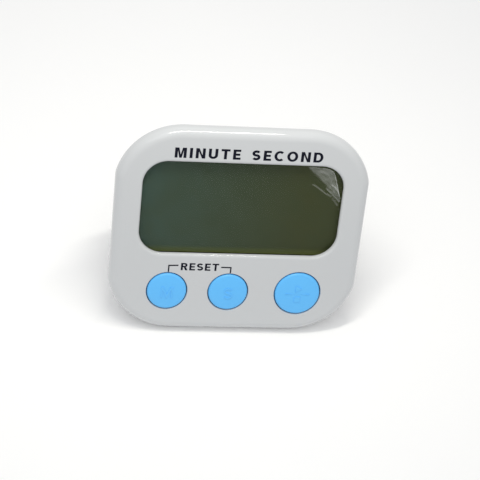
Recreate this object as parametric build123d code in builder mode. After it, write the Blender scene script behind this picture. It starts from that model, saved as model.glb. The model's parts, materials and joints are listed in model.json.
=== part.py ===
from build123d import *
import os
from math import cos, radians, sin, sqrt, tan

os.makedirs("parts", exist_ok=True)

# A digital countdown timer for the kitchen, in millimetres, leaning back on its folded-out stand.
# +Z is up and the face looks towards -Y. The origin is on the table, under the middle of the timer.
# Everything in the case is placed by its depth, which runs straight back from the flat of the face.

# Case
case_width = 70.5
case_height = 61.2
corner_width = 18.0
corner_radius = 18.4
kink_radius = 6.0
front_edge_radius = 2.5
back_edge_radius = 1.6
rim_depth = 3.7
parting_step = 0.3
side_draft = 11.5
end_draft = 27.0
face_wall = 2.0
front_side_wall = 1.8
rear_wall = 1.6
lean = 26.0

# Tongues on the rear cover that locate it inside the front cover's wall
tongue_gap = 0.1
tongue_thickness = 1.0
tongue_width = 8.0
tongue_reach = 1.1
tongue_root = 2.6
tongue_spacing = 24.0

# Window and lens
window_width = 55.8
window_height = 27.7
window_radius = 6.8
window_y = 7.15
window_edge_radius = 0.9
lens_depth = 1.2
lens_thickness = 1.0
lens_ledge = 1.5
lens_gap = 0.1
film_thickness = 0.1
film_gap = 0.4

# Display
glass_thickness = 1.1
glass_overlap_x = 0.8
glass_overlap_y = 0.6
contact_ledge = 3.2
rear_glass_margin = 0.5
polariser_thickness = 0.2
polariser_margin = 0.4
frame_rim = 0.7
frame_top_rim = 0.5
frame_bottom_rim = 1.7
frame_corner = 4.5
frame_gap = 0.15
frame_ledge = 1.5
strip_width = 1.8
strip_length = 50.0
strip_margin = 0.2

# Board
board_depth = 6.2
board_thickness = 1.2
board_inset = 4.2
board_top_margin = 0.3

# Buttons
button_y = -18.3
button_radii = {"minute": 5.56, "second": 5.56, "start": 6.47}
minute_x = -18.85
second_x = -1.47
start_side_margin = 10.25
button_gap = 0.25
button_hole_round = 0.3
button_travel = 0.6
cap_stand = 0.15
cap_crown = 0.4
cap_crown_half_way = 0.75
cap_round = 0.7
flange_width = 0.7
flange_thickness = 0.9
flange_gap = 0.1
stem_radius = 2.4
stem_length = 0.6

# Rubber keypad and its conductive pills
mat_thickness = 0.8
mat_margin = 0.5
mat_side_gap = 0.8
mat_corner = 6.0
mat_hole_gap = 0.4
dome_radius = 4.4
dome_shoulder = 3.0
dome_spare = 0.4
dome_wall = 0.7
pill_radius = 1.8
pill_thickness = 0.5
stem_gap = 0.05

# Screws
case_screw_y = -17.0
case_boss_radius = 2.0
case_boss_gap = 0.55
case_boss_depth = 8.0
case_seat_wall = 1.5
case_screw_radius = 0.85
case_head_radius = 1.9
case_head_height = 1.3
case_thread_length = 4.5
tower_wall = 1.2
board_screw_y = 6.0
board_boss_radius = 1.4
board_boss_gap = 0.1
board_screw_radius = 0.6
board_head_radius = 1.15
board_head_height = 0.8
board_thread_length = 3.0
screw_gap = 0.03
hole_gap = 0.3
head_round_share = 1 / 3
drive_share = 1.2
drive_width = 0.4
drive_depth = 0.5

# Stand
hinge_y = 14.0
hinge_depth_from_back = 1.2
stand_open = 42.0
stand_width = 17.4
stand_thickness = 2.0
stand_side_gap = 0.3
stand_corner = 3.0
stand_floor_gap = 0.9
stand_end_gap = 0.4
stop_gap = 0.05
pin_radius = 0.9
pin_length = 1.2
pin_gap = 0.06
recess_wall = 1.5
notch_radius = 5.0
grip_count = 3
grip_pitch = 1.6
grip_length = 9.0
grip_width = 0.8
grip_depth = 0.3

# Battery
battery_x = -21.0
battery_y = -2.0
cell_radius = 5.8
cell_height = 5.4
cell_step = 1.0
cell_cap_height = 0.5
well_gap = 0.2
well_wall = 1.4
well_floor = 0.9
well_board_gap = 0.2
well_pocket = 0.8
contact_thickness = 0.25
contact_width = 3.0
contact_slot_gap = 0.15
contact_gap = 0.05
door_gap = 0.2
door_skirt = 0.8
door_skirt_gap = 0.2
door_skirt_length = 1.5
lug_reach = 1.4
lug_angle = 40.0
lug_slack = 6.0
lug_gap = 0.1
door_turn = 50.0
coin_slot_length = 9.0
coin_slot_width = 1.6
coin_slot_depth = 0.7

# Magnet, sounder and hanging hole
magnet_x = 20.5
magnet_y = 10.0
magnet_radius = 8.0
magnet_thickness = 2.5
magnet_gap = 0.15
magnet_wall = 1.2
sounder_x = 19.5
sounder_y = -8.0
sounder_radius = 8.5
sounder_thickness = 0.3
ceramic_radius = 6.0
ceramic_thickness = 0.2
sounder_ring_height = 1.0
sounder_ring_width = 1.2
sound_hole_radius = 0.6
sound_hole_circle = 2.6
sound_hole_count = 6
hang_hole_radius = 1.75
hang_hole_y = 19.9

# Sounder leads: where each leaves the board and where it meets the sounder, across the face
lead_radius = 0.25
lead_straight = 1.8
lead_bend = 1.6
red_lead_start = (14.9, -12.4)
red_lead_end = (17.0, -10.5)
black_lead_start = (11.4, -3.6)
black_lead_end = (13.1, -5.3)

# Parts on the back of the board
chip_x = 2.0
chip_y = 8.0
chip_radius = 4.5
chip_height = 1.5
crystal_x = -3.0
crystal_y = -14.0
crystal_radius = 1.0
crystal_length = 6.0
crystal_lift = 0.1
crystal_lead = 0.3
crystal_lead_length = 1.4
crystal_lead_pitch = 0.9
resistor_size = (2.0, 1.25, 0.5)
resistor_row = (4.0, -3.0)
resistor_pitch = 2.4
resistor_count = 4
capacitor_size = (2.0, 1.25, 1.1)
capacitor_row = (-5.5, 1.0)
capacitor_pitch = 2.6
capacitor_count = 3
transistor_size = (2.9, 1.3, 1.0)
transistor_place = (7.0, -13.5)
transistor_leg = 0.4
transistor_leg_reach = 0.6
transistor_pitch = 1.9
inductor_x = 22.0
inductor_y = 17.0
inductor_radius = 2.5
inductor_core = 2.0
inductor_flange = 0.6
inductor_height = 4.0

# What follows from the sizes above
half_width = case_width / 2
half_height = case_height / 2
lean_angle = radians(lean)
start_x = half_width - start_side_margin - button_radii["start"]
button_places = {"minute": minute_x, "second": second_x, "start": start_x}

# Depths, from the front: display, board, battery and back wall
lens_back = lens_depth + lens_thickness
front_glass_depth = lens_back + polariser_thickness
rear_glass_depth = front_glass_depth + glass_thickness
reflector_depth = rear_glass_depth + glass_thickness
reflector_back = reflector_depth + polariser_thickness
board_back = board_depth + board_thickness
well_front = board_back + well_board_gap
well_seat = well_front + well_floor
cell_front = well_seat + contact_thickness + contact_gap
cell_back = cell_front + cell_height
back_wall_inside = cell_back + well_gap
case_depth = back_wall_inside + rear_wall

# Display and board, across the face
glass_width = window_width + 2 * glass_overlap_x
glass_top = window_y + window_height / 2 + glass_overlap_y
glass_bottom = window_y - window_height / 2 - glass_overlap_y
rear_glass_width = glass_width - 2 * rear_glass_margin
rear_glass_top = glass_top - rear_glass_margin
rear_glass_bottom = glass_bottom + contact_ledge
frame_width = glass_width + 2 * frame_rim
frame_top = glass_top + frame_top_rim
frame_bottom = glass_bottom - frame_bottom_rim
strip_y = glass_bottom + strip_margin + strip_width / 2
board_top = frame_top + board_top_margin

# Screws: two at the sides of the display, and one in each gap between the buttons
board_screw_x = frame_width / 2 + board_boss_gap + board_boss_radius
between_left = button_places["minute"] + button_radii["minute"]
between_left += button_places["second"] - button_radii["second"]
between_right = button_places["second"] + button_radii["second"]
between_right += button_places["start"] - button_radii["start"]
button_screw_places = [(between_left / 2, button_y), (between_right / 2, button_y)]
side_screw_places = [(-board_screw_x, board_screw_y), (board_screw_x, board_screw_y)]
board_screw_places = side_screw_places + button_screw_places
case_screw_x = button_places["start"] + button_radii["start"] + flange_width
case_screw_x += case_boss_gap + case_boss_radius
case_screw_places = [(-case_screw_x, case_screw_y), (case_screw_x, case_screw_y)]

# Buttons and keypad
flange_front = face_wall + flange_gap
flange_back = flange_front + flange_thickness
stem_end = flange_back + stem_length
dome_height = button_travel + dome_spare
dome_base = board_depth - mat_thickness
dome_top = dome_base - dome_height
pill_front = dome_top + dome_wall / 2
mat_half_width = case_screw_x - case_boss_radius - mat_side_gap
mat_half_height = max(button_radii.values()) + mat_margin

# Stand: its hinge, the heel that stops it and the recess it folds into
hinge_depth = case_depth - hinge_depth_from_back
stand_half = stand_thickness / 2
recess_reach = stand_half + stand_floor_gap
recess_floor = hinge_depth - recess_reach
heel_length = recess_reach - stop_gap - stand_half * cos(radians(stand_open))
heel_length /= sin(radians(stand_open))

# Height of the face's centre when the rim's lower edge is on the table
face_height = half_height * cos(lean_angle) + rim_depth * sin(lean_angle)
hinge_height = face_height + hinge_y * cos(lean_angle) - hinge_depth * sin(lean_angle)
stand_slope = radians(stand_open - lean)
stand_reach = (hinge_height - stand_half) / cos(stand_slope)

# How far the timer reaches in front of the face's centre and behind it, along the table
reach_front = (half_height - front_edge_radius) * sin(lean_angle)
reach_front += front_edge_radius * (1 - cos(lean_angle))
reach_back = hinge_y * sin(lean_angle) + hinge_depth * cos(lean_angle)
reach_back += stand_reach * sin(stand_slope) + stand_half
face_y = (reach_front - reach_back) / 2

face = Plane(
    origin=(0, face_y, face_height),
    x_dir=(1, 0, 0),
    z_dir=(0, -cos(lean_angle), sin(lean_angle)),
)
outward = Axis(face.origin, face.z_dir)


def behind(depth):
    """The plane at a depth behind the face, with X across the timer and Y up its face."""
    return face.offset(-depth)


def place(x, y, depth):
    """A point of the table's frame, from its place on the face and its depth."""
    return face.from_local_coords((x, y, -depth))


def section_plane(x, y, depth=0.0):
    """The plane through a line square to the face, with X across the timer and Y outward."""
    return Plane(origin=place(x, y, depth), x_dir=face.x_dir, z_dir=-face.y_dir)


def case_outline(half_x, half_y, inset=0.0):
    """The case's outline: corner arcs that run out of its top and bottom and meet its sides softly."""
    flat_x = half_x - corner_width
    flat_y = half_y - corner_radius + sqrt(corner_radius**2 - corner_width**2)
    with BuildSketch() as outline:
        with BuildLine():
            top = Line((-flat_x, half_y), (flat_x, half_y))
            right = Line((half_x, flat_y), (half_x, -flat_y))
            bottom = Line((flat_x, -half_y), (-flat_x, -half_y))
            left = Line((-half_x, -flat_y), (-half_x, flat_y))
            for side, following in ((top, right), (right, bottom), (bottom, left), (left, top)):
                RadiusArc(side @ 1, following @ 0, corner_radius)
        make_face()
        by_side = outline.vertices().group_by(Axis.X)
        fillet(by_side[0] + by_side[-1], kink_radius)
        if inset:
            offset(amount=-inset)
    return outline.sketch


def rear_outline(depth, inset=0.0):
    """The rear cover's outline at a depth: its walls lean in towards the back."""
    behind_rim = depth - rim_depth
    half_x = half_width - parting_step - behind_rim * tan(radians(side_draft))
    half_y = half_height - parting_step - behind_rim * tan(radians(end_draft))
    return case_outline(half_x, half_y, inset)


def ring_sector(inner, outer, middle, spread):
    """A piece of a ring, as wide as spread degrees, about the direction middle."""
    with BuildSketch() as sector:
        with BuildLine():
            near = CenterArc((0, 0), inner, middle - spread / 2, spread)
            far = CenterArc((0, 0), outer, middle - spread / 2, spread)
            Line(near @ 0, far @ 0)
            Line(near @ 1, far @ 1)
        make_face()
    return sector.sketch


tongue_y = half_height - front_side_wall - tongue_gap - tongue_thickness / 2
tongue_x = half_width - front_side_wall - tongue_gap - tongue_thickness / 2

# Front cover
with BuildPart() as front_cover:
    with BuildSketch(behind(rim_depth)):
        add(case_outline(half_width, half_height))
    extrude(amount=rim_depth)
    fillet(front_cover.faces().sort_by(outward)[-1].edges(), front_edge_radius)
    with BuildSketch(behind(rim_depth)):
        add(case_outline(half_width, half_height, front_side_wall))
    extrude(amount=rim_depth - face_wall, mode=Mode.SUBTRACT)
    # Window, with a soft edge
    with BuildSketch(behind(face_wall)):
        with Locations((0, window_y)):
            RectangleRounded(window_width, window_height, window_radius)
    extrude(amount=face_wall, mode=Mode.SUBTRACT)
    window_rim = front_cover.faces().sort_by(outward)[-1].inner_wires()[0]
    fillet(window_rim.edges(), window_edge_radius)
    # Seat of the lens, from behind
    with BuildSketch(behind(face_wall)):
        with Locations((0, window_y)):
            RectangleRounded(
                window_width + 2 * lens_ledge,
                window_height + 2 * lens_ledge,
                window_radius + lens_ledge,
            )
    extrude(amount=face_wall - lens_depth, mode=Mode.SUBTRACT)
    # Button holes
    for name, x in button_places.items():
        with BuildSketch(behind(face_wall)):
            with Locations((x, button_y)):
                Circle(button_radii[name] + button_gap)
        extrude(amount=face_wall, mode=Mode.SUBTRACT)
    button_rims = front_cover.faces().sort_by(outward)[-1].inner_wires().sort_by(SortBy.LENGTH)[:-1]
    fillet(button_rims.edges(), button_hole_round)
    # Bosses for the board's screws and the case's screws
    with BuildSketch(behind(board_depth)):
        with Locations(*board_screw_places):
            Circle(board_boss_radius)
    extrude(amount=board_depth - face_wall)
    with BuildSketch(behind(case_boss_depth)):
        with Locations(*case_screw_places):
            Circle(case_boss_radius)
    extrude(amount=case_boss_depth - face_wall)
    with BuildSketch(behind(board_depth)):
        with Locations(*board_screw_places):
            Circle(board_screw_radius + screw_gap)
    extrude(amount=board_thread_length + hole_gap, mode=Mode.SUBTRACT)
    with BuildSketch(behind(case_boss_depth)):
        with Locations(*case_screw_places):
            Circle(case_screw_radius + screw_gap)
    extrude(amount=case_thread_length + hole_gap, mode=Mode.SUBTRACT)
front_cover.part.label = "front_cover"
export_step(front_cover.part, "parts/front_cover.step")

# Window lens and the film that protects it
with BuildPart() as window_lens:
    with BuildSketch(behind(lens_back)):
        with Locations((0, window_y)):
            RectangleRounded(
                window_width + 2 * (lens_ledge - lens_gap),
                window_height + 2 * (lens_ledge - lens_gap),
                window_radius + lens_ledge - lens_gap,
            )
    extrude(amount=lens_thickness)
window_lens.part.label = "window_lens"
export_step(window_lens.part, "parts/window_lens.step")

with BuildPart() as protective_film:
    with BuildSketch(behind(lens_depth)):
        with Locations((0, window_y)):
            RectangleRounded(
                window_width - 2 * film_gap,
                window_height - 2 * film_gap,
                window_radius - film_gap,
            )
    extrude(amount=film_thickness)
protective_film.part.label = "protective_film"
export_step(protective_film.part, "parts/protective_film.step")

# Display: two glasses with a polariser in front and a reflector behind
with BuildPart() as lcd_front_polariser:
    with BuildSketch(behind(front_glass_depth)):
        with Locations((0, (glass_top + glass_bottom) / 2)):
            Rectangle(
                glass_width - 2 * polariser_margin,
                glass_top - glass_bottom - 2 * polariser_margin,
            )
    extrude(amount=polariser_thickness)
lcd_front_polariser.part.label = "lcd_front_polariser"
export_step(lcd_front_polariser.part, "parts/lcd_front_polariser.step")

with BuildPart() as lcd_front_glass:
    with BuildSketch(behind(rear_glass_depth)):
        with Locations((0, (glass_top + glass_bottom) / 2)):
            Rectangle(glass_width, glass_top - glass_bottom)
    extrude(amount=glass_thickness)
lcd_front_glass.part.label = "lcd_front_glass"
export_step(lcd_front_glass.part, "parts/lcd_front_glass.step")

with BuildPart() as lcd_rear_glass:
    with BuildSketch(behind(reflector_depth)):
        with Locations((0, (rear_glass_top + rear_glass_bottom) / 2)):
            Rectangle(rear_glass_width, rear_glass_top - rear_glass_bottom)
    extrude(amount=glass_thickness)
lcd_rear_glass.part.label = "lcd_rear_glass"
export_step(lcd_rear_glass.part, "parts/lcd_rear_glass.step")

with BuildPart() as lcd_reflector:
    with BuildSketch(behind(reflector_back)):
        with Locations((0, (rear_glass_top + rear_glass_bottom) / 2)):
            Rectangle(
                rear_glass_width - 2 * polariser_margin,
                rear_glass_top - rear_glass_bottom - 2 * polariser_margin,
            )
    extrude(amount=polariser_thickness)
lcd_reflector.part.label = "lcd_reflector"
export_step(lcd_reflector.part, "parts/lcd_reflector.step")

# Frame that presses the display on the lens, and the contact strip down to the board
with BuildPart() as lcd_frame:
    with BuildSketch(behind(board_depth)):
        with Locations((0, (frame_top + frame_bottom) / 2)):
            RectangleRounded(frame_width, frame_top - frame_bottom, frame_corner)
    extrude(amount=board_depth - rear_glass_depth)
    with BuildSketch(behind(reflector_back)):
        with Locations((0, (rear_glass_top + rear_glass_bottom) / 2)):
            Rectangle(
                rear_glass_width + 2 * frame_gap,
                rear_glass_top - rear_glass_bottom + 2 * frame_gap,
            )
    extrude(amount=glass_thickness + polariser_thickness, mode=Mode.SUBTRACT)
    with BuildSketch(behind(board_depth)):
        with Locations((0, (rear_glass_top + rear_glass_bottom) / 2)):
            Rectangle(
                rear_glass_width - 2 * frame_ledge,
                rear_glass_top - rear_glass_bottom - 2 * frame_ledge,
            )
        with Locations((0, strip_y)):
            Rectangle(strip_length + 2 * frame_gap, strip_width + 2 * frame_gap)
    extrude(amount=board_depth - rear_glass_depth, mode=Mode.SUBTRACT)
lcd_frame.part.label = "lcd_frame"
export_step(lcd_frame.part, "parts/lcd_frame.step")

with BuildPart() as contact_strip:
    with BuildSketch(behind(board_depth)):
        with Locations((0, strip_y)):
            Rectangle(strip_length, strip_width)
    extrude(amount=board_depth - rear_glass_depth)
contact_strip.part.label = "contact_strip"
export_step(contact_strip.part, "parts/contact_strip.step")

# Board, with ears at its side screws and room round the case's bosses
with BuildPart() as main_board:
    with BuildSketch(behind(board_back)):
        add(case_outline(half_width, half_height, board_inset))
        with Locations((0, board_top + half_height)):
            Rectangle(case_width, case_height, mode=Mode.SUBTRACT)
        with Locations(*board_screw_places):
            Circle(board_head_radius)
        with Locations(*board_screw_places):
            Circle(board_screw_radius + hole_gap, mode=Mode.SUBTRACT)
        with Locations(*case_screw_places):
            Circle(case_boss_radius + hole_gap, mode=Mode.SUBTRACT)
    extrude(amount=board_thickness)
main_board.part.label = "main_board"
export_step(main_board.part, "parts/main_board.step")

# Button caps, each with the flange that keeps it behind the front cover
for name, x in button_places.items():
    radius = button_radii[name]
    with BuildPart() as button:
        with BuildSketch(section_plane(x, button_y)) as profile:
            with BuildLine():
                crown = (0, cap_stand + cap_crown)
                edge = (radius, cap_stand)
                ThreePointArc(crown, (radius / 2, cap_stand + cap_crown_half_way * cap_crown), edge)
                Polyline(
                    edge,
                    (radius, -flange_front),
                    (radius + flange_width, -flange_front),
                    (radius + flange_width, -flange_back),
                    (stem_radius, -flange_back),
                    (stem_radius, -stem_end),
                    (0, -stem_end),
                    crown,
                )
            make_face()
            fillet(profile.vertices().group_by(Axis.Y)[-2], cap_round)
        revolve(axis=Axis(place(x, button_y, 0), face.z_dir))
    button.part.label = f"{name}_button"
    export_step(button.part, f"parts/{name}_button.step")

# Rubber keypad: a dome under each button
with BuildPart(behind(board_depth)) as keypad_mat:
    with BuildSketch(behind(board_depth)):
        with Locations((0, button_y)):
            RectangleRounded(2 * mat_half_width, 2 * mat_half_height, mat_corner)
        with Locations(*button_screw_places):
            Circle(board_boss_radius + mat_hole_gap, mode=Mode.SUBTRACT)
    extrude(amount=mat_thickness)
    plunger_height = dome_top - stem_end - stem_gap
    for x in button_places.values():
        with Locations((x, button_y, mat_thickness)):
            Cone(dome_radius, dome_shoulder, dome_height, align=(Align.CENTER, Align.CENTER, Align.MIN))
        with Locations((x, button_y, mat_thickness + dome_height)):
            Cylinder(stem_radius, plunger_height, align=(Align.CENTER, Align.CENTER, Align.MIN))
    for x in button_places.values():
        with Locations((x, button_y, 0)):
            Cylinder(
                dome_radius - dome_wall,
                mat_thickness,
                align=(Align.CENTER, Align.CENTER, Align.MIN),
                mode=Mode.SUBTRACT,
            )
        with Locations((x, button_y, mat_thickness)):
            Cone(
                dome_radius - dome_wall,
                dome_shoulder - dome_wall,
                dome_height - dome_wall / 2,
                align=(Align.CENTER, Align.CENTER, Align.MIN),
                mode=Mode.SUBTRACT,
            )
keypad_mat.part.label = "keypad_mat"
export_step(keypad_mat.part, "parts/keypad_mat.step")

for name, x in button_places.items():
    with BuildPart() as pill:
        with BuildSketch(behind(pill_front + pill_thickness)):
            with Locations((x, button_y)):
                Circle(pill_radius)
        extrude(amount=pill_thickness)
    pill.part.label = f"{name}_pill"
    export_step(pill.part, f"parts/{name}_pill.step")

# Rear cover
tower_radius = case_head_radius + hole_gap + tower_wall
seat_depth = case_boss_depth + case_seat_wall
recess_half = stand_width / 2 + stand_side_gap
recess_top = hinge_y + (heel_length**2 + stand_half**2) ** 0.5 + stand_end_gap
recess_bottom = hinge_y - stand_reach - stand_half - stand_end_gap
recess_height = recess_top - recess_bottom
recess_middle = (recess_top + recess_bottom) / 2
well_radius = cell_radius + well_gap
door_radius = well_radius + door_skirt_gap + door_skirt
lug_radius = door_radius + lug_reach
lug_room = lug_radius + door_gap
skirt_front = back_wall_inside - door_skirt_length
lug_seat = skirt_front - lug_gap
sounder_back = back_wall_inside - sounder_ring_height
lug_middle = 90.0
positive_x = battery_x + cell_radius + contact_gap + contact_thickness / 2
negative_tail_y = battery_y + cell_radius - contact_thickness / 2

with BuildPart() as rear_shape:
    with BuildSketch(behind(case_depth)):
        add(rear_outline(case_depth))
    with BuildSketch(behind(rim_depth)):
        add(rear_outline(rim_depth))
    loft(ruled=True)
    fillet(rear_shape.faces().sort_by(outward)[0].edges(), back_edge_radius)

with BuildPart() as rear_cover:
    add(rear_shape.part)
    with BuildSketch(behind(back_wall_inside)):
        add(rear_outline(back_wall_inside, rear_wall))
    with BuildSketch(behind(rim_depth)):
        add(rear_outline(rim_depth, rear_wall))
    loft(ruled=True, mode=Mode.SUBTRACT)
    # Walls round the stand's recess and its finger notch
    with BuildSketch(behind(case_depth)):
        with Locations((0, recess_middle)):
            Rectangle(2 * (recess_half + recess_wall), recess_height + 2 * recess_wall)
        with Locations((0, recess_bottom)):
            Circle(notch_radius + recess_wall)
    extrude(amount=case_depth - recess_floor + recess_wall)
    # Battery well, magnet cup, screw towers and the sounder's ring
    with BuildSketch(behind(case_depth)):
        with Locations((battery_x, battery_y)):
            Circle(well_radius + well_wall)
    extrude(amount=case_depth - well_front)
    with BuildSketch(behind(case_depth)):
        with Locations((battery_x, battery_y)):
            Circle(lug_room + well_wall)
    extrude(amount=case_depth - lug_seat + well_wall)
    with BuildSketch(behind(case_depth)):
        with Locations((magnet_x, magnet_y)):
            Circle(magnet_radius + magnet_gap + magnet_wall)
    extrude(amount=magnet_thickness + magnet_wall)
    with BuildSketch(behind(case_depth)):
        with Locations(*case_screw_places):
            Circle(tower_radius)
    extrude(amount=case_depth - case_boss_depth)
    with BuildSketch(behind(case_depth)):
        with Locations((sounder_x, sounder_y)):
            Circle(sounder_radius)
            Circle(sounder_radius - sounder_ring_width, mode=Mode.SUBTRACT)
    extrude(amount=case_depth - sounder_back)
    add(rear_shape.part, mode=Mode.INTERSECT)
    # Tongues that enter the front cover
    with BuildSketch(behind(rim_depth + tongue_root)):
        with GridLocations(tongue_spacing, 2 * tongue_y, 2, 2):
            Rectangle(tongue_width, tongue_thickness)
        with GridLocations(2 * tongue_x, 0, 2, 1):
            Rectangle(tongue_thickness, tongue_width)
    extrude(amount=tongue_root + tongue_reach)
    # The recess, the holes for the stand's pins and the finger notch
    with BuildSketch(behind(case_depth)):
        with Locations((0, recess_middle)):
            Rectangle(2 * recess_half, recess_height)
        with Locations((0, recess_bottom)):
            Circle(notch_radius)
    extrude(amount=case_depth - recess_floor, mode=Mode.SUBTRACT)
    pin_hole_start = place(-recess_half - pin_length, hinge_y, hinge_depth)
    with BuildSketch(Plane(origin=pin_hole_start, z_dir=(1, 0, 0))):
        Circle(pin_radius + pin_gap)
    extrude(amount=2 * (recess_half + pin_length), mode=Mode.SUBTRACT)
    # The battery's well, the door's hole and its two entry notches
    with BuildSketch(behind(cell_back)):
        with Locations((battery_x, battery_y)):
            Circle(well_radius)
    extrude(amount=cell_back - well_seat, mode=Mode.SUBTRACT)
    with BuildSketch(behind(back_wall_inside)):
        with Locations((battery_x, battery_y)):
            Circle(lug_room)
    extrude(amount=back_wall_inside - lug_seat, mode=Mode.SUBTRACT)
    with BuildSketch(behind(case_depth)):
        with Locations((battery_x, battery_y)):
            Circle(door_radius + door_gap)
            for middle in (lug_middle, lug_middle + 180):
                add(ring_sector(well_radius, lug_room, middle - door_turn, lug_angle + lug_slack))
    extrude(amount=rear_wall, mode=Mode.SUBTRACT)
    # Pocket and slots of the battery's contacts
    with BuildSketch(behind(lug_seat)):
        with Locations((battery_x + well_radius, battery_y)):
            Rectangle(2 * well_pocket, contact_width + 2 * contact_slot_gap)
    extrude(amount=lug_seat - well_seat, mode=Mode.SUBTRACT)
    with BuildSketch(behind(well_seat)):
        with Locations((positive_x, battery_y)):
            Rectangle(
                contact_thickness + 2 * contact_slot_gap,
                contact_width + 2 * contact_slot_gap,
            )
        with Locations((battery_x, negative_tail_y)):
            Rectangle(
                contact_width + 2 * contact_slot_gap,
                contact_thickness + 2 * contact_slot_gap,
            )
    extrude(amount=well_floor, mode=Mode.SUBTRACT)
    # The magnet's pocket, the screws' seats, the sound holes and the hanging hole
    with BuildSketch(behind(case_depth)):
        with Locations((magnet_x, magnet_y)):
            Circle(magnet_radius + magnet_gap)
    extrude(amount=magnet_thickness, mode=Mode.SUBTRACT)
    with BuildSketch(behind(case_depth)):
        with Locations(*case_screw_places):
            Circle(case_head_radius + hole_gap)
    extrude(amount=case_depth - seat_depth, mode=Mode.SUBTRACT)
    with BuildSketch(behind(case_depth)):
        with Locations(*case_screw_places):
            Circle(case_screw_radius + hole_gap)
    extrude(amount=case_depth - case_boss_depth, mode=Mode.SUBTRACT)
    with BuildSketch(behind(case_depth)):
        with Locations((sounder_x, sounder_y)):
            Circle(sound_hole_radius)
            with PolarLocations(sound_hole_circle, sound_hole_count):
                Circle(sound_hole_radius)
        with Locations((0, hang_hole_y)):
            Circle(hang_hole_radius)
    extrude(amount=rear_wall, mode=Mode.SUBTRACT)
rear_cover.part.label = "rear_cover"
export_step(rear_cover.part, "parts/rear_cover.step")

# Battery door, turned by a coin: a disc, a skirt and two lugs that hook behind the back wall
with BuildPart() as battery_door:
    with BuildSketch(behind(case_depth)):
        with Locations((battery_x, battery_y)):
            Circle(door_radius)
    extrude(amount=case_depth - skirt_front)
    with BuildSketch(behind(back_wall_inside)):
        with Locations((battery_x, battery_y)):
            Circle(door_radius - door_skirt)
    extrude(amount=door_skirt_length, mode=Mode.SUBTRACT)
    with BuildSketch(behind(back_wall_inside - lug_gap)):
        with Locations((battery_x, battery_y)):
            for middle in (lug_middle, lug_middle + 180):
                add(ring_sector(door_radius - door_skirt / 2, lug_radius, middle, lug_angle))
    extrude(amount=door_skirt_length - lug_gap)
    with BuildSketch(behind(case_depth)):
        with Locations((battery_x, battery_y)):
            SlotOverall(coin_slot_length, coin_slot_width)
    extrude(amount=coin_slot_depth, mode=Mode.SUBTRACT)
battery_door.part.label = "battery_door"
export_step(battery_door.part, "parts/battery_door.step")

# Button cell, its cap towards the front
with BuildPart() as battery_cell:
    with BuildSketch(behind(cell_back)):
        with Locations((battery_x, battery_y)):
            Circle(cell_radius)
    extrude(amount=cell_height - cell_cap_height)
    with BuildSketch(behind(cell_front + cell_cap_height)):
        with Locations((battery_x, battery_y)):
            Circle(cell_radius - cell_step)
    extrude(amount=cell_cap_height)
battery_cell.part.label = "battery_cell"
export_step(battery_cell.part, "parts/battery_cell.step")

# Battery contacts, each with a tail down to the board
negative_end = negative_tail_y + contact_thickness / 2
negative_start = battery_y - cell_radius / 2
with BuildPart() as battery_contact_negative:
    with BuildSketch(behind(well_seat + contact_thickness)):
        with Locations((battery_x, (negative_start + negative_end) / 2)):
            Rectangle(contact_width, negative_end - negative_start)
    extrude(amount=contact_thickness)
    with BuildSketch(behind(well_seat)):
        with Locations((battery_x, negative_tail_y)):
            Rectangle(contact_width, contact_thickness)
    extrude(amount=well_seat - board_back)
battery_contact_negative.part.label = "battery_contact_negative"
export_step(battery_contact_negative.part, "parts/battery_contact_negative.step")

positive_back = lug_seat - contact_slot_gap
with BuildPart() as battery_contact_positive:
    with BuildSketch(behind(positive_back)):
        with Locations((positive_x, battery_y)):
            Rectangle(contact_thickness, contact_width)
    extrude(amount=positive_back - board_back)
battery_contact_positive.part.label = "battery_contact_positive"
export_step(battery_contact_positive.part, "parts/battery_contact_positive.step")

# Fold-out stand, opened until its heel meets the floor of the recess
stand_plane = Plane(
    origin=place(0, hinge_y, hinge_depth),
    x_dir=(-1, 0, 0),
    z_dir=(0, cos(stand_slope), sin(stand_slope)),
)
foot_start = stand_plane.from_local_coords((stand_corner - stand_width / 2, -stand_reach, 0))
pin_start = stand_plane.from_local_coords((-stand_width / 2 - pin_length, 0, 0))

with BuildPart() as stand:
    with BuildSketch(stand_plane.offset(-stand_half)):
        with Locations((0, (heel_length - stand_reach) / 2)):
            Rectangle(stand_width, heel_length + stand_reach)
    extrude(amount=stand_thickness)
    thickness_edges = stand.edges().filter_by(Axis(stand_plane.origin, stand_plane.z_dir))
    fillet(thickness_edges.group_by(Axis.Z)[0], stand_corner)
    # Round foot and hinge pins
    with BuildSketch(Plane(origin=foot_start, z_dir=(-1, 0, 0))):
        Circle(stand_half)
    extrude(amount=stand_width - 2 * stand_corner)
    with BuildSketch(Plane(origin=pin_start, z_dir=(-1, 0, 0))):
        Circle(pin_radius)
    extrude(amount=stand_width + 2 * pin_length)
    # Grip grooves for the fingertip, on the side that faces out when folded
    with BuildSketch(stand_plane.offset(stand_half)):
        with Locations((0, stand_corner - stand_reach)):
            with GridLocations(0, grip_pitch, 1, grip_count):
                SlotOverall(grip_length, grip_width)
    extrude(amount=-grip_depth, mode=Mode.SUBTRACT)
stand.part.label = "stand"
export_step(stand.part, "parts/stand.step")

# Magnet, flush with the back
with BuildPart() as magnet:
    with BuildSketch(behind(case_depth)):
        with Locations((magnet_x, magnet_y)):
            Circle(magnet_radius)
    extrude(amount=magnet_thickness)
magnet.part.label = "magnet"
export_step(magnet.part, "parts/magnet.step")

# Piezo sounder on its ring
ceramic_back = sounder_back - sounder_thickness
with BuildPart() as sounder_plate:
    with BuildSketch(behind(sounder_back)):
        with Locations((sounder_x, sounder_y)):
            Circle(sounder_radius)
    extrude(amount=sounder_thickness)
sounder_plate.part.label = "sounder_plate"
export_step(sounder_plate.part, "parts/sounder_plate.step")

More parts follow.
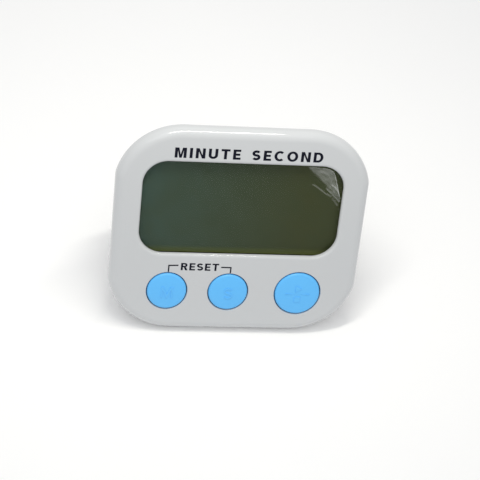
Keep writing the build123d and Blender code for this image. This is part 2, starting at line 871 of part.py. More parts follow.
with BuildPart() as sounder_ceramic:
    with BuildSketch(behind(ceramic_back)):
        with Locations((sounder_x, sounder_y)):
            Circle(ceramic_radius)
    extrude(amount=ceramic_thickness)
sounder_ceramic.part.label = "sounder_ceramic"
export_step(sounder_ceramic.part, "parts/sounder_ceramic.step")

# Leads from the board to the sounder: red to the ceramic, black to the brass
ceramic_face = ceramic_back - ceramic_thickness
lead_routes = {
    "red": (red_lead_start, red_lead_end, ceramic_face),
    "black": (black_lead_start, black_lead_end, ceramic_back),
}
for colour, (start, end, end_depth) in lead_routes.items():
    route = [
        place(*start, board_back),
        place(*start, board_back + lead_straight),
        place(*end, end_depth - lead_straight),
        place(*end, end_depth),
    ]
    with BuildPart() as lead:
        with BuildLine() as path:
            FilletPolyline(*route, radius=lead_bend)
        with BuildSketch(Plane(origin=path.line @ 0, z_dir=path.line % 0)):
            Circle(lead_radius)
        sweep()
    lead.part.label = f"sounder_lead_{colour}"
    export_step(lead.part, f"parts/sounder_lead_{colour}.step")

# Potted chip
with BuildPart() as chip_cover:
    with BuildSketch(section_plane(chip_x, chip_y, board_back)):
        with BuildLine():
            dome = RadiusArc(
                (0, -chip_height),
                (chip_radius, 0),
                -(chip_radius**2 + chip_height**2) / (2 * chip_height),
            )
            Polyline(dome @ 1, (0, 0), dome @ 0)
        make_face()
    revolve(axis=Axis(place(chip_x, chip_y, board_back), face.z_dir))
chip_cover.part.label = "chip_cover"
export_step(chip_cover.part, "parts/chip_cover.step")

# Clock crystal lying on the board, with its two leads
crystal_depth = board_back + crystal_lift + crystal_radius
with BuildPart() as clock_crystal:
    with BuildSketch(Plane(origin=place(crystal_x, crystal_y, crystal_depth), z_dir=(1, 0, 0))):
        Circle(crystal_radius)
    extrude(amount=crystal_length)
    with BuildSketch(behind(crystal_depth + crystal_lead / 2)):
        with Locations((crystal_x - crystal_lead_length / 2, crystal_y)):
            with GridLocations(0, crystal_lead_pitch, 1, 2):
                Rectangle(crystal_lead_length, crystal_lead)
    extrude(amount=crystal_lead)
    with BuildSketch(behind(crystal_depth + crystal_lead / 2)):
        with Locations((crystal_x - crystal_lead_length + crystal_lead / 2, crystal_y)):
            with GridLocations(0, crystal_lead_pitch, 1, 2):
                Rectangle(crystal_lead, crystal_lead)
    extrude(amount=crystal_depth + crystal_lead / 2 - board_back)
clock_crystal.part.label = "clock_crystal"
export_step(clock_crystal.part, "parts/clock_crystal.step")

# Small parts soldered to the board
with BuildPart() as resistors:
    with BuildSketch(behind(board_back + resistor_size[2])):
        with Locations(resistor_row):
            with GridLocations(0, resistor_pitch, 1, resistor_count):
                Rectangle(resistor_size[0], resistor_size[1])
    extrude(amount=resistor_size[2])
resistors.part.label = "resistors"
export_step(resistors.part, "parts/resistors.step")

with BuildPart() as capacitors:
    with BuildSketch(behind(board_back + capacitor_size[2])):
        with Locations(capacitor_row):
            with GridLocations(0, capacitor_pitch, 1, capacitor_count):
                Rectangle(capacitor_size[0], capacitor_size[1])
    extrude(amount=capacitor_size[2])
capacitors.part.label = "capacitors"
export_step(capacitors.part, "parts/capacitors.step")

with BuildPart() as transistor:
    with BuildSketch(behind(board_back + transistor_size[2])):
        with Locations(transistor_place):
            Rectangle(transistor_size[0], transistor_size[1])
    extrude(amount=transistor_size[2])
    with BuildSketch(behind(board_back + transistor_leg)):
        with Locations(transistor_place):
            with GridLocations(transistor_pitch, 0, 2, 1):
                with Locations((0, -(transistor_size[1] + transistor_leg_reach) / 2)):
                    Rectangle(transistor_leg, transistor_leg_reach)
            with Locations((0, (transistor_size[1] + transistor_leg_reach) / 2)):
                Rectangle(transistor_leg, transistor_leg_reach)
    extrude(amount=transistor_leg)
transistor.part.label = "transistor"
export_step(transistor.part, "parts/transistor.step")

# Coil that steps the voltage up for the sounder: a winding between two flanges
with BuildPart() as boost_inductor:
    with BuildSketch(behind(board_back + inductor_height)):
        with Locations((inductor_x, inductor_y)):
            Circle(inductor_core)
    extrude(amount=inductor_height)
    for flange_back_depth in (board_back + inductor_flange, board_back + inductor_height):
        with BuildSketch(behind(flange_back_depth)):
            with Locations((inductor_x, inductor_y)):
                Circle(inductor_radius)
        extrude(amount=inductor_flange)
boost_inductor.part.label = "boost_inductor"
export_step(boost_inductor.part, "parts/boost_inductor.step")


def screw(x, y, seat, thread_radius, thread_length, head_radius, head_height):
    """A pan-head screw whose head sits at a depth, driven towards the face, with a cross recess."""
    with BuildPart() as one:
        with BuildSketch(behind(seat)):
            with Locations((x, y)):
                Circle(thread_radius)
        extrude(amount=thread_length)
        with BuildSketch(behind(seat + head_height)):
            with Locations((x, y)):
                Circle(head_radius)
        extrude(amount=head_height)
        fillet(one.faces().sort_by(outward)[0].edges(), head_round_share * head_height)
        with BuildSketch(behind(seat + head_height)):
            with Locations((x, y)):
                Rectangle(drive_share * head_radius, drive_width)
                Rectangle(drive_width, drive_share * head_radius)
        extrude(amount=drive_depth, mode=Mode.SUBTRACT)
    return one.part


with BuildPart() as case_screws:
    for x, y in case_screw_places:
        add(
            screw(
                x,
                y,
                seat_depth,
                case_screw_radius,
                seat_depth - case_boss_depth + case_thread_length,
                case_head_radius,
                case_head_height,
            )
        )
case_screws.part.label = "case_screws"
export_step(case_screws.part, "parts/case_screws.step")

with BuildPart() as board_screws:
    for x, y in board_screw_places:
        add(
            screw(
                x,
                y,
                board_back,
                board_screw_radius,
                board_thickness + board_thread_length,
                board_head_radius,
                board_head_height,
            )
        )
board_screws.part.label = "board_screws"
export_step(board_screws.part, "parts/board_screws.step")
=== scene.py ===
import json
import math

import bmesh
import bpy
from mathutils import Matrix, Vector, noise


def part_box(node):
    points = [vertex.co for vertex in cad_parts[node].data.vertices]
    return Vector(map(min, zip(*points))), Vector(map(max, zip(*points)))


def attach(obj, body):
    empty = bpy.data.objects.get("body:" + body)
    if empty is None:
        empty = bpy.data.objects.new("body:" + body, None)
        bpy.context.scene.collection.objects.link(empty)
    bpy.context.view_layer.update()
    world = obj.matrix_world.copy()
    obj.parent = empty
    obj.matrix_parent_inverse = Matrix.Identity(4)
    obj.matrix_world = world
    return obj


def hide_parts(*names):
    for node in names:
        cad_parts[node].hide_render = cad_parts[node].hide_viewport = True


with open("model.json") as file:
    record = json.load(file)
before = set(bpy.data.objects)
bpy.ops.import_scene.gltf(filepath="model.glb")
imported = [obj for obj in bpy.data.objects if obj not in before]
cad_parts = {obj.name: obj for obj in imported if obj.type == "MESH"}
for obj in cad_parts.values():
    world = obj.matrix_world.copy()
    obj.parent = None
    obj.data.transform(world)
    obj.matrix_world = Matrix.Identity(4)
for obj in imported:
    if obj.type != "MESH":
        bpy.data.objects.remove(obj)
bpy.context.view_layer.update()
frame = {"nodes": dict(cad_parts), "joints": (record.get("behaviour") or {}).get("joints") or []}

# The looks around the CAD frame, which is in metres. The face is measured in millimetres.
MM = 0.001

# ---------------------------------------------------------------- the face's own frame
# Points on the face are given as x across it, y up it and out, away from it, in millimetres.
HALF_HEIGHT = 30.6
FRONT_EDGE_RADIUS = 2.5
RIM_DEPTH = 3.7
LENS_DEPTH = 1.2
LENS_THICKNESS = 1.0
LENS_LEDGE = 1.4
WINDOW_SIZE = (55.8, 27.7)
WINDOW_RADIUS = 6.8
WINDOW_Y = 7.15
FILM_GAP = 0.4
FILM_THICKNESS = 0.06
FILM_CLEARANCE = 0.02
BUTTON_Y = -18.3
BUTTONS = {"minute": (-18.85, 5.56), "second": (-1.47, 5.56), "start": (18.53, 6.47)}
CAP_STAND = 0.15
CAP_CROWN = 0.4

press = next(j for j in frame["joints"] if j["name"] == "minute_press")
inward = Vector(press["axis"]).normalized()
across = Vector((1.0, 0.0, 0.0))
outward = -inward
up_face = outward.cross(across)
lean = math.atan2(outward.z, -outward.y)

cover_low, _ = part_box("front_cover")
reach_front = (HALF_HEIGHT - FRONT_EDGE_RADIUS) * math.sin(lean)
reach_front += FRONT_EDGE_RADIUS * (1 - math.cos(lean))
face_centre = Vector(
    (
        0.0,
        cover_low.y + reach_front * MM,
        cover_low.z + (HALF_HEIGHT * math.cos(lean) + RIM_DEPTH * math.sin(lean)) * MM,
    )
)
face_frame = Matrix.Translation(face_centre) @ Matrix(
    (
        (across.x, up_face.x, outward.x, 0),
        (across.y, up_face.y, outward.y, 0),
        (across.z, up_face.z, outward.z, 0),
        (0, 0, 0, 1),
    )
)


def on_face(x, y, out=0.0):
    """A point in the row frame, from millimetres across, up and out of the face."""
    return face_frame @ Vector((x * MM, y * MM, out * MM))


def smooth_step(value, low, high):
    """0 below low, 1 above high and a soft change between."""
    share = min(1.0, max(0.0, (value - low) / (high - low)))
    return share * share * (3 - 2 * share)


# ---------------------------------------------------------------- camera
# Angles in degrees about the face: to its side, above it and the roll. Distances in millimetres.
CAMERA_AZIMUTH = -10.9809
CAMERA_ELEVATION = 25.8235
CAMERA_ROLL = 6.3501
CAMERA_DISTANCE = 432.4
CAMERA_AIM = (0.1762, -1.3547, 0.9013)
FOCAL_LENGTH = 117.04
SENSOR_WIDTH = 36.0
CLIP_START, CLIP_END = 0.02, 20.0


def make_camera():
    """A long lens in front of the face, above it and to its left, rolled a little."""
    turn = (
        Matrix.Rotation(math.radians(CAMERA_AZIMUTH), 3, "Y")
        @ Matrix.Rotation(math.radians(-CAMERA_ELEVATION), 3, "X")
        @ Matrix.Rotation(math.radians(CAMERA_ROLL), 3, "Z")
    )
    place = on_face(*(Vector(CAMERA_AIM) + turn.col[2] * CAMERA_DISTANCE))
    data = bpy.data.cameras.new("camera")
    data.lens = FOCAL_LENGTH
    data.sensor_width = SENSOR_WIDTH
    data.clip_start = CLIP_START
    data.clip_end = CLIP_END
    camera = bpy.data.objects.new("camera", data)
    bpy.context.scene.collection.objects.link(camera)
    camera.matrix_world = Matrix.Translation(place) @ (face_frame.to_3x3() @ turn).to_4x4()
    bpy.context.scene.camera = camera


# ---------------------------------------------------------------- materials
# Noise scales are per metre. Relief distances and edge radii are in metres.
BEVEL_SAMPLES = 6
PLASTIC_IOR = 1.5
CLEAR_IOR = 1.1
FILM_IOR = 1.55
INK_IOR = 1.15
# How much painted reflection the film shows where it is lifted, and how much painted highlight it
# adds on a crease
FILM_REFLECTION_VEIL = 0.18
FILM_CREASE_HIGHLIGHT = 0.38
# The display's tints, the metres across the face over which they change, and the pale band of
# painted reflection along its foot
DISPLAY_LEFT = (0.047, 0.080, 0.066)
DISPLAY_RIGHT = (0.046, 0.052, 0.020)
DISPLAY_CLOUD = (0.036, 0.050, 0.024)
DISPLAY_FOOT_REFLECTION = (0.115, 0.135, 0.040)
DISPLAY_SPAN = (-0.030, 0.018)
FOOT_REFLECTION_BAND = (-0.0006, 0.0018)
DISPLAY_IOR = 1.22
# Radians per metre, of the coil's turns and of the contact strip's layers
COIL_RATE = 31000.0
STRIP_RATE = 25000.0


def new_material(name):
    """An empty node material: its tree and its shader."""
    material = bpy.data.materials.new(name)
    material.use_nodes = True
    tree = material.node_tree
    tree.nodes.clear()
    output = tree.nodes.new("ShaderNodeOutputMaterial")
    shader = tree.nodes.new("ShaderNodeBsdfPrincipled")
    tree.links.new(shader.outputs[0], output.inputs[0])
    return material, tree, shader


def object_coords(tree, stretch=(1, 1, 1), turned=False):
    """Coordinates that stay with the piece, lined up with the face where turned is set."""
    coords = tree.nodes.new("ShaderNodeTexCoord")
    mapping = tree.nodes.new("ShaderNodeMapping")
    mapping.inputs["Scale"].default_value = stretch
    source = coords.outputs["Object"]
    if turned:
        level = tree.nodes.new("ShaderNodeMapping")
        level.vector_type = "TEXTURE"
        level.inputs["Location"].default_value = face_centre
        level.inputs["Rotation"].default_value = face_frame.to_euler()
        tree.links.new(source, level.inputs[0])
        source = level.outputs[0]
    tree.links.new(source, mapping.inputs[0])
    return mapping.outputs[0]


def add_noise(tree, scale, detail=3.0, rough=0.5, stretch=(1, 1, 1), turned=False):
    """Noise from 0 to 1, as fine as scale says per metre."""
    texture = tree.nodes.new("ShaderNodeTexNoise")
    texture.inputs["Scale"].default_value = scale
    texture.inputs["Detail"].default_value = detail
    texture.inputs["Roughness"].default_value = rough
    tree.links.new(object_coords(tree, stretch, turned), texture.inputs[0])
    return texture.outputs[0]


def add_cells(tree, scale, feature="F1"):
    """Cells from 0 at their middles, as fine as scale says per metre."""
    texture = tree.nodes.new("ShaderNodeTexVoronoi")
    texture.feature = feature
    texture.inputs["Scale"].default_value = scale
    tree.links.new(object_coords(tree), texture.inputs["Vector"])
    return texture.outputs["Distance"]


def spread(tree, value, low, high, start=0.0, end=1.0):
    """Maps a value from start to end onto low to high."""
    node = tree.nodes.new("ShaderNodeMapRange")
    ends = {"From Min": start, "From Max": end, "To Min": low, "To Max": high}
    for name, number in ends.items():
        node.inputs[name].default_value = number
    tree.links.new(value, node.inputs[0])
    return node.outputs[0]


def combine(tree, how, first, second):
    """Joins two values, the second a socket or a number, by add, multiply and the like."""
    node = tree.nodes.new("ShaderNodeMath")
    node.operation = how
    tree.links.new(first, node.inputs[0])
    if hasattr(second, "default_value"):
        tree.links.new(second, node.inputs[1])
    else:
        node.inputs[1].default_value = second
    return node.outputs[0]


def mix_colours(tree, factor, first, second):
    """Blends two colours, each a value or a socket."""
    node = tree.nodes.new("ShaderNodeMix")
    node.data_type = "RGBA"
    tree.links.new(factor, node.inputs[0])
    for slot, colour in ((6, first), (7, second)):
        if hasattr(colour, "default_value"):
            tree.links.new(colour, node.inputs[slot])
        else:
            node.inputs[slot].default_value = (*colour, 1)
    return node.outputs[2]


def add_bump(tree, shader, height, strength, distance, edge=0.0):
    """Fine relief on the shader's normal, its full height in metres, and edges shaded round."""
    node = tree.nodes.new("ShaderNodeBump")
    node.inputs["Strength"].default_value = strength
    node.inputs["Distance"].default_value = distance
    tree.links.new(height, node.inputs["Height"])
    tree.links.new(node.outputs[0], shader.inputs["Normal"])
    if edge:
        soft = tree.nodes.new("ShaderNodeBevel")
        soft.samples = BEVEL_SAMPLES
        soft.inputs["Radius"].default_value = edge
        tree.links.new(soft.outputs[0], node.inputs["Normal"])


def set_colour(tree, shader, factor, first, second):
    """Colours a shader from the first to the second colour by a factor."""
    tree.links.new(mix_colours(tree, factor, first, second), shader.inputs["Base Color"])


def set_roughness(tree, shader, value, low, high, start=0.0, end=1.0):
    """Makes a shader as rough as low to high where a value goes from start to end."""
    tree.links.new(spread(tree, value, low, high, start, end), shader.inputs["Roughness"])


def face_axes(tree):
    """How far a point is across, up and out of the face, in metres, as sockets X, Y and Z."""
    place = tree.nodes.new("ShaderNodeSeparateXYZ")
    tree.links.new(object_coords(tree, turned=True), place.inputs[0])
    return place.outputs


def waves(tree, value, rate):
    """A sine of a value, from -1 to 1, its rate in radians per metre."""
    node = tree.nodes.new("ShaderNodeMath")
    node.operation = "SINE"
    tree.links.new(combine(tree, "MULTIPLY", value, rate), node.inputs[0])
    return node.outputs[0]


def mesh_value(tree, name):
    """A value that the mesh holds at each of its points."""
    node = tree.nodes.new("ShaderNodeAttribute")
    node.attribute_name = name
    return node.outputs["Fac"]


def plastic(name, colour, other, roughness, relief=0.06, grain=900, edge=0.0):
    """Moulded plastic: a slight mottle in its colour, uneven gloss and a fine surface relief."""
    material, tree, shader = new_material(name)
    set_colour(tree, shader, add_noise(tree, scale=60, detail=4), colour, other)
    gloss = add_noise(tree, scale=180, detail=4, rough=0.6)
    set_roughness(tree, shader, gloss, low=roughness * 0.8, high=roughness * 1.2)
    shader.inputs["IOR"].default_value = PLASTIC_IOR
    texture = add_noise(tree, scale=grain, detail=2)
    add_bump(tree, shader, texture, strength=relief, distance=0.00004, edge=edge)
    return material


def textured_plastic(name, colour, other):
    """The back's matt moulding: spark-eroded texture over a slightly uneven white."""
    material, tree, shader = new_material(name)
    set_colour(tree, shader, add_noise(tree, scale=45, detail=4), colour, other)
    pits = add_noise(tree, scale=4200, detail=3, rough=0.7)
    set_roughness(tree, shader, pits, low=0.36, high=0.58)
    add_bump(tree, shader, pits, strength=0.35, distance=0.00003)
    return material


def metal(name, colour, roughness, stretch=(1, 1, 1), grain=900):
    """Plated or rolled metal with fine marks along one direction and a little tarnish."""
    material, tree, shader = new_material(name)
    tarnish = add_noise(tree, scale=320, detail=5, rough=0.6)
    darker = tuple(0.82 * c for c in colour)
    set_colour(tree, shader, tarnish, colour, darker)
    shader.inputs["Metallic"].default_value = 1.0
    marks = add_noise(tree, scale=grain, detail=4, rough=0.6, stretch=stretch)
    set_roughness(tree, shader, marks, low=roughness * 0.7, high=roughness * 1.4)
    add_bump(tree, shader, marks, strength=0.15, distance=0.00002)
    return material


def rubber(name, colour, roughness=0.6):
    """Moulded rubber: a dull, dusty surface."""
    material, tree, shader = new_material(name)
    dust = add_noise(tree, scale=700, detail=5, rough=0.65)
    paler = tuple(min(1.0, c * 1.15 + 0.01) for c in colour)
    set_colour(tree, shader, dust, colour, paler)
    set_roughness(tree, shader, dust, low=roughness * 0.85, high=roughness * 1.1)
    texture = add_noise(tree, scale=2500, detail=2)
    add_bump(tree, shader, texture, strength=0.15, distance=0.00002)
    return material


def clear_plastic(name):
    """Polished acrylic, with faint wiping marks in its tint and gloss."""
    material, tree, shader = new_material(name)
    smear = add_noise(tree, scale=140, detail=5, rough=0.65, stretch=(1.0, 2.5, 1.0), turned=True)
    set_colour(tree, shader, smear, (0.93, 0.96, 0.93), (0.98, 0.985, 0.975))
    shader.inputs["Transmission Weight"].default_value = 1.0
    shader.inputs["IOR"].default_value = CLEAR_IOR
    set_roughness(tree, shader, smear, low=0.02, high=0.05, start=0.3, end=0.7)
    return material


def clear_film():
    """Thin film: invisible where it lies flat, with a painted reflection where it is lifted and a
    painted highlight on a crease.
    """
    material, tree, shader = new_material("clear_film")
    patches = add_noise(tree, scale=420, detail=5, rough=0.6, turned=True)
    mottle = spread(tree, patches, low=0.7, high=1.3)
    # Painted reflection: the pale film shows where it is lifted, and a painted highlight shows on
    # its creases
    veil = spread(tree, mesh_value(tree, "film_lift_reflection"), low=0.0, high=FILM_REFLECTION_VEIL)
    veil = combine(tree, "MULTIPLY", veil, mottle)
    bright = spread(tree, mesh_value(tree, "film_crease_highlight"), low=0.0, high=FILM_CREASE_HIGHLIGHT)
    tree.links.new(combine(tree, "ADD", veil, bright), shader.inputs["Alpha"])
    tint = add_noise(tree, scale=90, detail=3)
    set_colour(tree, shader, tint, (0.86, 0.88, 0.84), (0.80, 0.83, 0.80))
    shader.inputs["Roughness"].default_value = 0.2
    shader.inputs["IOR"].default_value = FILM_IOR
    return material


def display_film():
    """The unlit display and its polariser: dark olive, greener to the left, with a painted
    reflection as a pale band along its foot.
    """
    material, tree, shader = new_material("display_polariser")
    place = face_axes(tree)
    left, right = DISPLAY_SPAN
    sideways = spread(tree, place["X"], low=0.0, high=1.0, start=left, end=right)
    body = mix_colours(tree, sideways, DISPLAY_LEFT, DISPLAY_RIGHT)
    cloud = add_noise(tree, scale=150, detail=5, rough=0.6, turned=True)
    cloudy = spread(tree, cloud, low=0.0, high=0.6, start=0.3, end=0.8)
    body = mix_colours(tree, cloudy, body, DISPLAY_CLOUD)
    # Painted reflection: a pale band along the foot of the window
    start, end = ((WINDOW_Y - WINDOW_SIZE[1] / 2) * MM + side for side in FOOT_REFLECTION_BAND)
    foot = spread(tree, place["Y"], low=1.0, high=0.0, start=start, end=end)
    set_colour(tree, shader, foot, body, DISPLAY_FOOT_REFLECTION)
    grain = add_noise(tree, scale=9000, detail=2, rough=0.6, stretch=(1, 0.35, 1), turned=True)
    set_roughness(tree, shader, grain, low=0.40, high=0.44)
    shader.inputs["IOR"].default_value = DISPLAY_IOR
    return material


def board_laminate():
    """Green solder mask over faint tracks."""
    material, tree, shader = new_material("board_laminate")
    cells = add_cells(tree, scale=420, feature="DISTANCE_TO_EDGE")
    tracks = spread(tree, cells, low=1.0, high=0.0, start=0.06, end=0.10)
    set_colour(tree, shader, tracks, (0.018, 0.16, 0.055), (0.05, 0.27, 0.10))
    shader.inputs["Coat Weight"].default_value = 0.4
    set_roughness(tree, shader, add_noise(tree, scale=600), low=0.3, high=0.45)
    add_bump(tree, shader, tracks, strength=0.3, distance=0.00003)
    return material


def winding():
    """Enamelled wire, wound in fine turns about the coil's axis, with painted highlights on the
    crests of the turns and painted shade between them.
    """
    material, tree, shader = new_material("inductor_coil")
    turns = waves(tree, face_axes(tree)["Z"], COIL_RATE)
    # Painted light: each turn's crest is painted lighter and the groove between turns darker
    crest_shading = spread(tree, turns, low=0, high=1, start=-1, end=1)
    set_colour(tree, shader, crest_shading, (0.16, 0.05, 0.015), (0.50, 0.20, 0.07))
    shader.inputs["Metallic"].default_value = 0.7
    set_roughness(tree, shader, turns, low=0.22, high=0.4, start=-1, end=1)
    add_bump(tree, shader, turns, strength=0.4, distance=0.00004)
    return material


def strip_rubber():
    """Contact strip: fine dark conducting layers in pink silicone."""
    material, tree, shader = new_material("strip_rubber")
    layers = waves(tree, face_axes(tree)["X"], STRIP_RATE)
    dark = spread(tree, layers, low=0, high=1, start=-0.2, end=0.2)
    set_colour(tree, shader, dark, (0.58, 0.24, 0.28), (0.04, 0.035, 0.04))
    set_roughness(tree, shader, add_noise(tree, scale=900), low=0.5, high=0.65)
    return material


def print_ink():
    """Pad-printed ink: near black, a touch uneven."""
    material, tree, shader = new_material("print_ink")
    patchy = add_noise(tree, scale=2600, detail=4, rough=0.65)
    set_colour(tree, shader, patchy, (0.004, 0.005, 0.012), (0.012, 0.013, 0.024))
    set_roughness(tree, shader, patchy, low=0.4, high=0.6)
    shader.inputs["IOR"].default_value = INK_IOR
    return material


def make_materials():
    """Every material by name. A plastic and the back have two colours that they vary between."""
    white = ((0.594, 0.609, 0.622), (0.582, 0.597, 0.610))
    back = ((0.60, 0.608, 0.618), (0.575, 0.583, 0.595))
    blue = ((0.127, 0.532, 1.0), (0.118, 0.515, 1.0))
    natural = ((0.74, 0.74, 0.72), (0.70, 0.70, 0.68))
    reflector = ((0.09, 0.12, 0.06), (0.08, 0.11, 0.05))
    ceramic = ((0.80, 0.78, 0.72), (0.76, 0.74, 0.68))
    resin = ((0.012, 0.012, 0.014), (0.02, 0.02, 0.022))
    resistor = ((0.02, 0.02, 0.022), (0.03, 0.03, 0.032))
    capacitor = ((0.50, 0.36, 0.22), (0.44, 0.31, 0.18))
    return {
        "white": plastic("white_abs", *white, 0.08, relief=0.02, grain=500, edge=0.0002),
        "back": textured_plastic("back_abs", *back),
        "blue": plastic("blue_abs", *blue, 0.42, relief=0.06, grain=900, edge=0.0001),
        "natural": plastic("frame_plastic", *natural, 0.5, relief=0.1, grain=1200),
        "lens": clear_plastic("clear_lens"),
        "film": clear_film(),
        "display": display_film(),
        "glass": clear_plastic("display_glass"),
        "reflector": plastic("display_reflector", *reflector, 0.5),
        "strip": strip_rubber(),
        "board": board_laminate(),
        "keypad": rubber("keypad_rubber", (0.55, 0.57, 0.60)),
        "pill": rubber("pill_rubber", (0.02, 0.02, 0.02), roughness=0.7),
        "cell": metal("cell_steel", (0.72, 0.72, 0.70), 0.22),
        "contact": metal("contact_metal", (0.74, 0.73, 0.68), 0.28, stretch=(1, 6, 1)),
        "nickel": metal("magnet_nickel", (0.66, 0.66, 0.66), 0.24, grain=1400),
        "brass": metal("sounder_brass", (0.78, 0.58, 0.24), 0.3, stretch=(5, 1, 1)),
        "ceramic": plastic("sounder_ceramic", *ceramic, 0.45),
        "red": rubber("lead_red", (0.55, 0.02, 0.02), roughness=0.4),
        "black": rubber("lead_black", (0.015, 0.015, 0.015), roughness=0.4),
        "resin": plastic("chip_resin", *resin, 0.3, relief=0.2, grain=400),
        "can": metal("crystal_can", (0.76, 0.76, 0.74), 0.2),
        "resistor": plastic("resistor_body", *resistor, 0.45),
        "capacitor": plastic("capacitor_body", *capacitor, 0.45),
        "coil": winding(),
        "screw": metal("screw_steel", (0.62, 0.62, 0.60), 0.3, grain=1600),
        "ink": print_ink(),
    }


NODE_MATERIALS = {
    "front_cover": "white",
    "rear_cover": "back",
    "stand": "back",
    "battery_door": "back",
    "minute_button": "blue",
    "second_button": "blue",
    "start_button": "blue",
    "lcd_front_polariser": "display",
    "lcd_front_glass": "glass",
    "lcd_rear_glass": "glass",
    "lcd_reflector": "reflector",
    "lcd_frame": "natural",
    "contact_strip": "strip",
    "main_board": "board",
    "keypad_mat": "keypad",
    "minute_pill": "pill",
    "second_pill": "pill",
    "start_pill": "pill",
    "battery_cell": "cell",
    "battery_contact_negative": "contact",
    "battery_contact_positive": "contact",
    "magnet": "nickel",
    "sounder_plate": "brass",
    "sounder_ceramic": "ceramic",
    "sounder_lead_red": "red",
    "sounder_lead_black": "black",
    "chip_cover": "resin",
    "clock_crystal": "can",
    "resistors": "resistor",
    "capacitors": "capacitor",
    "transistor": "resin",
    "boost_inductor": "coil",
    "case_screws": "screw",
    "board_screws": "screw",
}


def dress(piece, material):
    """Gives a piece one material."""
    piece.data.materials.clear()
    piece.data.materials.append(material)


# ---------------------------------------------------------------- pieces
def link_mesh(name, mesh, material, body):
    """Links a mesh in the row frame as a piece that rides on a body."""
    piece = bpy.data.objects.new(name, mesh)
    bpy.context.scene.collection.objects.link(piece)
    dress(piece, material)
    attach(piece, body)
    return piece


def take_mesh(shape, name):
    """The mesh of a finished bmesh."""
    mesh = bpy.data.meshes.new(name)
    shape.to_mesh(mesh)
    shape.free()
    return mesh


def let_light_through(piece):
    """Lets light pass a clear piece unhindered. The piece itself is still seen."""
    piece.visible_shadow = False
    piece.visible_diffuse = False
    piece.visible_glossy = False


def rounded_outline(half_x, half_y, radius, steps=14):
    """Points round a rectangle with round corners, anticlockwise about its middle."""
    points = []
    for quarter in range(4):
        sign_x = (1, -1, -1, 1)[quarter]
        sign_y = (1, 1, -1, -1)[quarter]
        for step in range(steps + 1):
            angle = math.radians(90 * (quarter + step / steps))
            x = sign_x * (half_x - radius) + radius * math.cos(angle)
            y = sign_y * (half_y - radius) + radius * math.sin(angle)
            points.append((x, y))
    return points


# The lens's polished bevel, and the air between its back and the display, in millimetres
LENS_BEVEL = 0.12
LENS_AIR = 0.03


def make_lens(material):
    """The clear window: a flat plate with a small polished bevel all round."""
    half_x = WINDOW_SIZE[0] / 2 + LENS_LEDGE
    half_y = WINDOW_SIZE[1] / 2 + LENS_LEDGE
    radius = WINDOW_RADIUS + LENS_LEDGE
    front = -LENS_DEPTH
    back = -LENS_DEPTH - LENS_THICKNESS + LENS_AIR
    rings = (
        (LENS_BEVEL, front),
        (0.0, front - LENS_BEVEL),
        (0.0, back + LENS_BEVEL),
        (LENS_BEVEL, back),
    )
    shape = bmesh.new()
    loops = []
    for inset, out in rings:
        outline = rounded_outline(half_x - inset, half_y - inset, radius - inset)
        loops.append([shape.verts.new(on_face(x, WINDOW_Y + y, out)) for x, y in outline])
    count = len(loops[0])
    for first, second in zip(loops, loops[1:]):
        for i in range(count):
            j = (i + 1) % count
            shape.faces.new((first[i], second[i], second[j], first[j]))
    shape.faces.new(loops[0])
    shape.faces.new(reversed(loops[-1]))
    bmesh.ops.recalc_face_normals(shape, faces=shape.faces)
    piece = link_mesh("lens_plate", take_mesh(shape, "lens_plate"), material, "case")
    let_light_through(piece)
    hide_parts("window_lens")


# The film's grid, and its lifted corner: the line it lifts from, how high and over what distance,
# in millimetres on the face
FILM_COLUMNS, FILM_ROWS = 230, 116
LIFT_LINE = ((17.3, 20.4), (27.6, 10.6))
LIFT_HEIGHT = 0.75
LIFT_REACH = 3.3
# The lifted corner's edge is drawn in towards the middle of its round: at which angle most and how
# far to either side, in degrees, then how much and from which distance, in millimetres
PULL_ANGLE, PULL_SPREAD = 18.0, 42.0
PULL_DEPTH, PULL_START = 1.25, 2.0
# Unevenness: how fine it is per millimetre, how much it changes the lift, and the plane of noise it
# is taken from. A ripple's amount is a height in millimetres.
WAVE_RATE, WAVE_SHARE, WAVE_PLANE = 0.8, 0.35, 3.0
RIPPLE_RATE, RIPPLE_HEIGHT, RIPPLE_PLANE = 0.25, 0.012, 7.0
# The veil of painted reflection on the lifted film starts about the lifting line, and varies with
# the unevenness
VEIL_FROM, VEIL_TO = -0.15, 0.35
VEIL_LEVEL, VEIL_WAVE = 0.75, 0.5
# The painted highlight on the cut edge of the lifted corner: how much of the grid's outer part it
# takes (1 is the edge), where it starts and is whole beyond the lifting line, and how bright it is
CUT_EDGE = 0.985
CUT_FROM, CUT_TO, CUT_HIGHLIGHT = 0.4, 1.6, 0.5
# Each crease: its path on the face and half width in millimetres, the brightness of its painted
# highlight, and its height in millimetres
CREASES = (
    (((19.3, 15.3), (21.4, 14.0), (23.2, 12.6), (24.8, 11.9)), 0.16, 0.45, 0.05),
    (((24.4, 15.6), (25.5, 14.8), (26.5, 13.6), (27.2, 12.2)), 0.20, 0.65, 0.08),
    (((23.2, 14.2), (25.0, 12.7), (26.3, 11.3), (27.3, 10.4)), 0.20, 0.60, 0.08),
    (((25.3, 11.2), (26.1, 10.2), (26.8, 9.3)), 0.18, 0.35, 0.05),
    (((20.9, 19.6), (22.6, 18.8), (24.0, 17.6)), 0.30, 0.22, 0.05),
)


def distance_to_path(x, y, path):
    """How far a point is from a path of straight runs."""
    best = 1000.0
    for (ax, ay), (bx, by) in zip(path, path[1:]):
        run = Vector((bx - ax, by - ay))
        reach = Vector((x - ax, y - ay))
        share = min(1.0, max(0.0, reach.dot(run) / run.length_squared))
        best = min(best, (reach - run * share).length)
    return best


